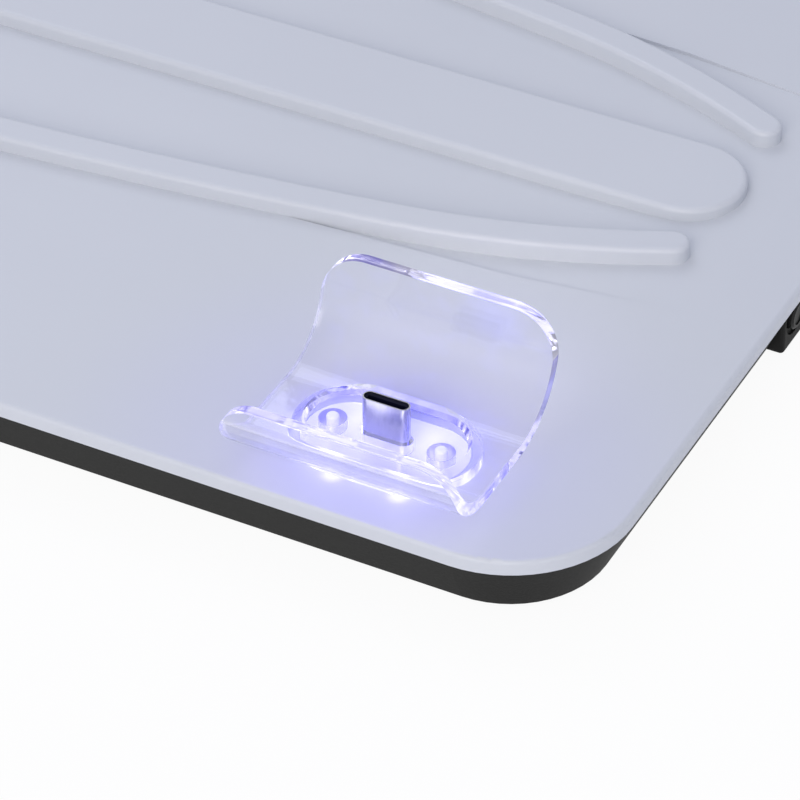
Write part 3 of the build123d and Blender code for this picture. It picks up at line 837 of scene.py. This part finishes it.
# Limits that keep the trimmed rim, the foot's wall and the recess apart.
trim_start = sheet_top + 3 * mm
foot_top = sheet_top - 2 * mm
foot_half_x, foot_half_y = 13 * mm, 6 * mm
recess_half_x, recess_half_y = 16 * mm, 9 * mm
# Limits on the slope of a face, as parts of its normal.
upright_limit, straight_limit, level_limit = 0.1, 0.05, 0.99
lean_low, lean_high = 0.3, 0.95
print("half width of the cradle, mm", round(half_width / mm, 1))

# %% Sort the cradle's faces
cradle = nodes["clear_cradle"]
cradle.data.materials.clear()
for finish in clear_kinds:
    cradle.data.materials.append(finish)
counts = {finish.name: 0 for finish in clear_kinds}
for face in cradle.data.polygons:
    at, facing = face.center, face.normal
    off_x, off_y = abs(at.x - plug_middle.x), abs(at.y - plug_middle.y)
    upright = abs(facing.z) < upright_limit
    trimmed = at.z > trim_start and abs(facing.y) < straight_limit
    leaning = recess_top < at.z < sheet_top and lean_low < facing.z < lean_high
    finish = clear_face
    if off_x > half_width - touch:
        finish = clear_cut
    elif trimmed:
        finish = clear_trim
    elif abs(facing.z) > level_limit and at.z < recess_top + touch:
        finish = clear_window
    elif upright and math.hypot(off_x - hole_reach, off_y) < hole_zone:
        finish = clear_hole
    elif upright and at.z < foot_top and (off_x > foot_half_x or off_y > foot_half_y):
        finish = clear_foot
    elif leaning and off_x < recess_half_x and off_y < recess_half_y:
        finish = clear_wall
    face.material_index = clear_kinds.index(finish)
    counts[finish.name] += 1
print("faces of each clear finish", counts)

# %% [markdown]
# ## Light through the cradle
# Clear acrylic lets nearly all light through, so the cradle throws hardly any shadow. A renderer
# would have to follow each ray through the sheet to show that, and the shadow is left out instead.
# The light that does enter runs along the sheet in many small reflections before it leaves, so
# more of them are followed than is usual: with too few, the bends of the sheet turn black.

# %% Shadow and reflections of the sheet
cradle.visible_shadow = False
bpy.context.scene.cycles.max_bounces = 24
bpy.context.scene.cycles.glossy_bounces = 16
bpy.context.scene.cycles.transmission_bounces = 24
print("reflections followed in the sheet", bpy.context.scene.cycles.glossy_bounces)

# %% [markdown]
# ## A film of air under the foot
# Where the clear foot sits on the light plate and the cover, three faces lie on one level, and a
# renderer can't tell which of them comes first. Real parts have a film of air there, so the foot's
# lower face is lifted by a few hundredths of a millimetre. A modifier does it, and the mesh that
# came from CAD stays as it is.

# %% Lift the foot's lower face
film_mm = 0.04
lower_face = cradle.vertex_groups.new(name="lower face")
low_points = [v.index for v in cradle.data.vertices if v.co.z < cradle_low.z + touch]
lower_face.add(low_points, 1.0, "ADD")
film = cradle.modifiers.new("film of air", "DISPLACE")
film.direction = "Z"
film.mid_level = 0.0
film.strength = film_mm * mm
film.vertex_group = lower_face.name
print("points lifted", len(low_points), "by, mm", film_mm)

# %% [markdown]
# ## Every other solid
# The rest of the solids have one finish each. A table of finishes is easier to check than a
# material call beside each solid, and it shows at a glance which pieces are made of the same stuff.

# %% Give each solid its finish
finishes = {
    white_abs: ["top_cover"],
    charcoal_abs: ["bottom_housing"],
    button_abs: ["mode_button"],
    milky_plate: ["light_diffuser"],
    nickel_steel: ["plug_shell", "inlet_shell"],
    gold_plate: ["plug_contacts"],
    zinc_steel: ["dock_screws", "board_screws", "housing_screws"],
    drawn_can: ["main_capacitors"],
    black_nylon: ["plug_insulator", "plug_base", "inlet_tongue"],
    natural_nylon: [
        "dock_socket",
        "main_dock_socket",
        "main_power_socket",
        "inlet_socket",
        "switch_plunger",
    ],
    phosphor_resin: ["dock_leds"],
    chip_epoxy: ["dock_resistors", "dock_charge_chip", "main_converter_chip", "switch_body"],
    ferrite: ["main_inductor"],
    vinyl_jacket: ["dock_leads", "power_leads"],
    board_lacquer: ["dock_board", "main_board", "button_board", "inlet_board"],
    foot_rubber: ["foot_front_near", "foot_front_far", "foot_rear_near", "foot_rear_far"],
}
for finish, names in finishes.items():
    for name in names:
        nodes[name].data.materials.clear()
        nodes[name].data.materials.append(finish)
print("finished solids", 1 + sum(len(names) for names in finishes.values()), "of", len(nodes))

# %% [markdown]
# ## The studio floor
# The dock is photographed on white paper. Lighting the paper until it is white would also wash out
# the dock. So rays from the camera, and those that come by way of gloss or clear acrylic, find
# paper that is almost white by itself, and a small share of real matte paper keeps the shadow.
# It lies a fifth of a millimetre below the feet, so that no two faces share one level.

# %% Paper floor
def rays_that_look(tree):
    rays = add_node(tree, "ShaderNodeLightPath").outputs
    direct = add_node(
        tree,
        "ShaderNodeMath",
        {0: rays["Is Camera Ray"], 1: rays["Is Glossy Ray"]},
        operation="MAXIMUM",
    )
    return add_node(
        tree,
        "ShaderNodeMath",
        {0: direct.outputs["Value"], 1: rays["Is Transmission Ray"]},
        operation="MAXIMUM",
    ).outputs["Value"]


floor_gap = 0.2 * mm
white_share = 0.94
bpy.ops.mesh.primitive_plane_add(size=8.0, location=(0, 0, -floor_gap))
floor = bpy.context.object
floor.name = "studio_floor"
# Paper is matte, so it takes a soft shadow and shows no highlight.
paper = bpy.data.materials.new("White studio paper")
paper.use_nodes = True
tree = paper.node_tree
tree.nodes.clear()
share = add_node(
    tree, "ShaderNodeMath", {0: rays_that_look(tree), 1: white_share}, operation="MULTIPLY"
)
matte = add_node(tree, "ShaderNodeBsdfDiffuse", {"Color": paint("#f4f4f4")})
white = add_node(tree, "ShaderNodeEmission", {"Color": paint("#ffffff"), "Strength": 1.0})
blend = add_node(
    tree,
    "ShaderNodeMixShader",
    {0: share.outputs["Value"], 1: matte.outputs["BSDF"], 2: white.outputs["Emission"]},
)
add_node(tree, "ShaderNodeOutputMaterial", {"Surface": blend.outputs["Shader"]})
floor.data.materials.append(paper)
print("floor", floor.name)

# %% [markdown]
# ## The sky
# The same split serves the sky. What the camera and the gloss see is white near the horizon and
# greyer overhead, as in a studio with white walls and a darker ceiling: without that the plug and
# the acrylic would have nothing to reflect but white. The light that falls on the dock is a
# plain, slightly cool grey.

# %% White walls and a grey ceiling
horizon_climb, ceiling_climb, ceiling_grey = 0.2, 0.7, 0.45
sky_strength = 0.65
world = bpy.data.worlds.new("Studio sky")
bpy.context.scene.world = world
world.use_nodes = True
tree = world.node_tree
tree.nodes.clear()
toward = add_node(tree, "ShaderNodeTexCoord").outputs["Generated"]
climb = add_node(tree, "ShaderNodeSeparateXYZ", {"Vector": toward})
fade = add_node(
    tree,
    "ShaderNodeMapRange",
    {
        "Value": climb.outputs["Z"],
        "From Min": horizon_climb,
        "From Max": ceiling_climb,
        "To Min": 1.0,
        "To Max": ceiling_grey,
    },
    interpolation_type="SMOOTHSTEP",
)
soft = add_node(
    tree, "ShaderNodeBackground", {"Color": paint("#e4e9ff"), "Strength": sky_strength}
)
walls = add_node(
    tree, "ShaderNodeBackground", {"Color": paint("#ffffff"), "Strength": fade.outputs["Result"]}
)
blend = add_node(
    tree,
    "ShaderNodeMixShader",
    {0: rays_that_look(tree), 1: soft.outputs["Background"], 2: walls.outputs["Background"]},
)
add_node(tree, "ShaderNodeOutputWorld", {"Surface": blend.outputs["Shader"]})
print("sky strength", sky_strength)

# %% [markdown]
# ## Lamps
# A large soft box on the cradle's side shapes the rounded edges, and a weaker one stands opposite.
# Each is 1.4 m wide and some 2 m away, so the shadows have no hard edge. The first stands low and
# to the side, where the cradle's back wall doesn't mirror it into the camera.

# %% Two soft boxes
def soft_box(name, place, size, watts, tint):
    lamp = bpy.data.lights.new(name, "AREA")
    lamp.shape = "DISK"
    lamp.size = size
    lamp.energy = watts
    lamp.color = paint(tint)[:3]
    stand = bpy.data.objects.new(name, lamp)
    stand.location = place
    stand.rotation_euler = (-Vector(place)).to_track_quat("-Z", "Y").to_euler()
    bpy.context.scene.collection.objects.link(stand)


soft_box("key soft box", (0.3, -1.7, 1.1), size=1.4, watts=18, tint="#fffaf4")
soft_box("fill soft box", (-1.2, 0.9, 1.5), size=1.4, watts=8, tint="#f2f5ff")

# %% [markdown]
# ## The camera
# The photograph was taken from some way off with a long lens: the edges of the base hardly
# converge. The angles, the distance and the plug's place in the picture were fitted to it, so the
# camera is set from them: how far it is turned round, how high it stands, how it tilts, and how
# far the foot of the plug lies from the middle of the picture.

# %% Which way the camera looks
turn = math.radians(27.766)
rise_angle = math.radians(38.455)
tilt = math.radians(0.448)
across = Vector((math.cos(turn), math.sin(turn), 0))
level_in = Vector((-math.sin(turn), math.cos(turn), 0))
upward = level_in * math.sin(rise_angle) + Vector((0, 0, math.cos(rise_angle)))
inward = level_in * math.cos(rise_angle) - Vector((0, 0, math.sin(rise_angle)))
right = math.cos(tilt) * across - math.sin(tilt) * upward
up = math.sin(tilt) * across + math.cos(tilt) * upward
print("camera looks along", [round(v, 3) for v in inward])

# %% Put the camera in place
distance = 706.28 * mm
plug_in_view = Vector((-2.079, -5.421)) * mm
plug_proud = 6.8 * mm
plug_foot = Vector((plug_middle.x, plug_middle.y, plug_high.z - plug_proud))
lens = bpy.data.cameras.new("long lens")
lens.sensor_width = 36.0
lens.lens = 202.5
lens.clip_start = 0.01
camera = bpy.data.objects.new("camera", lens)
turned = Matrix((right, up, -inward)).transposed().to_4x4()
stands_at = plug_foot - right * plug_in_view.x - up * plug_in_view.y - inward * distance
camera.matrix_world = Matrix.Translation(stands_at) @ turned
bpy.context.scene.collection.objects.link(camera)
bpy.context.scene.camera = camera
print("camera at, mm", [round(v / mm, 1) for v in stands_at])

# %% [markdown]
# ## Picture
# The Standard view shows colours as they were written.

# %% Picture settings
bpy.context.scene.view_settings.view_transform = "Standard"
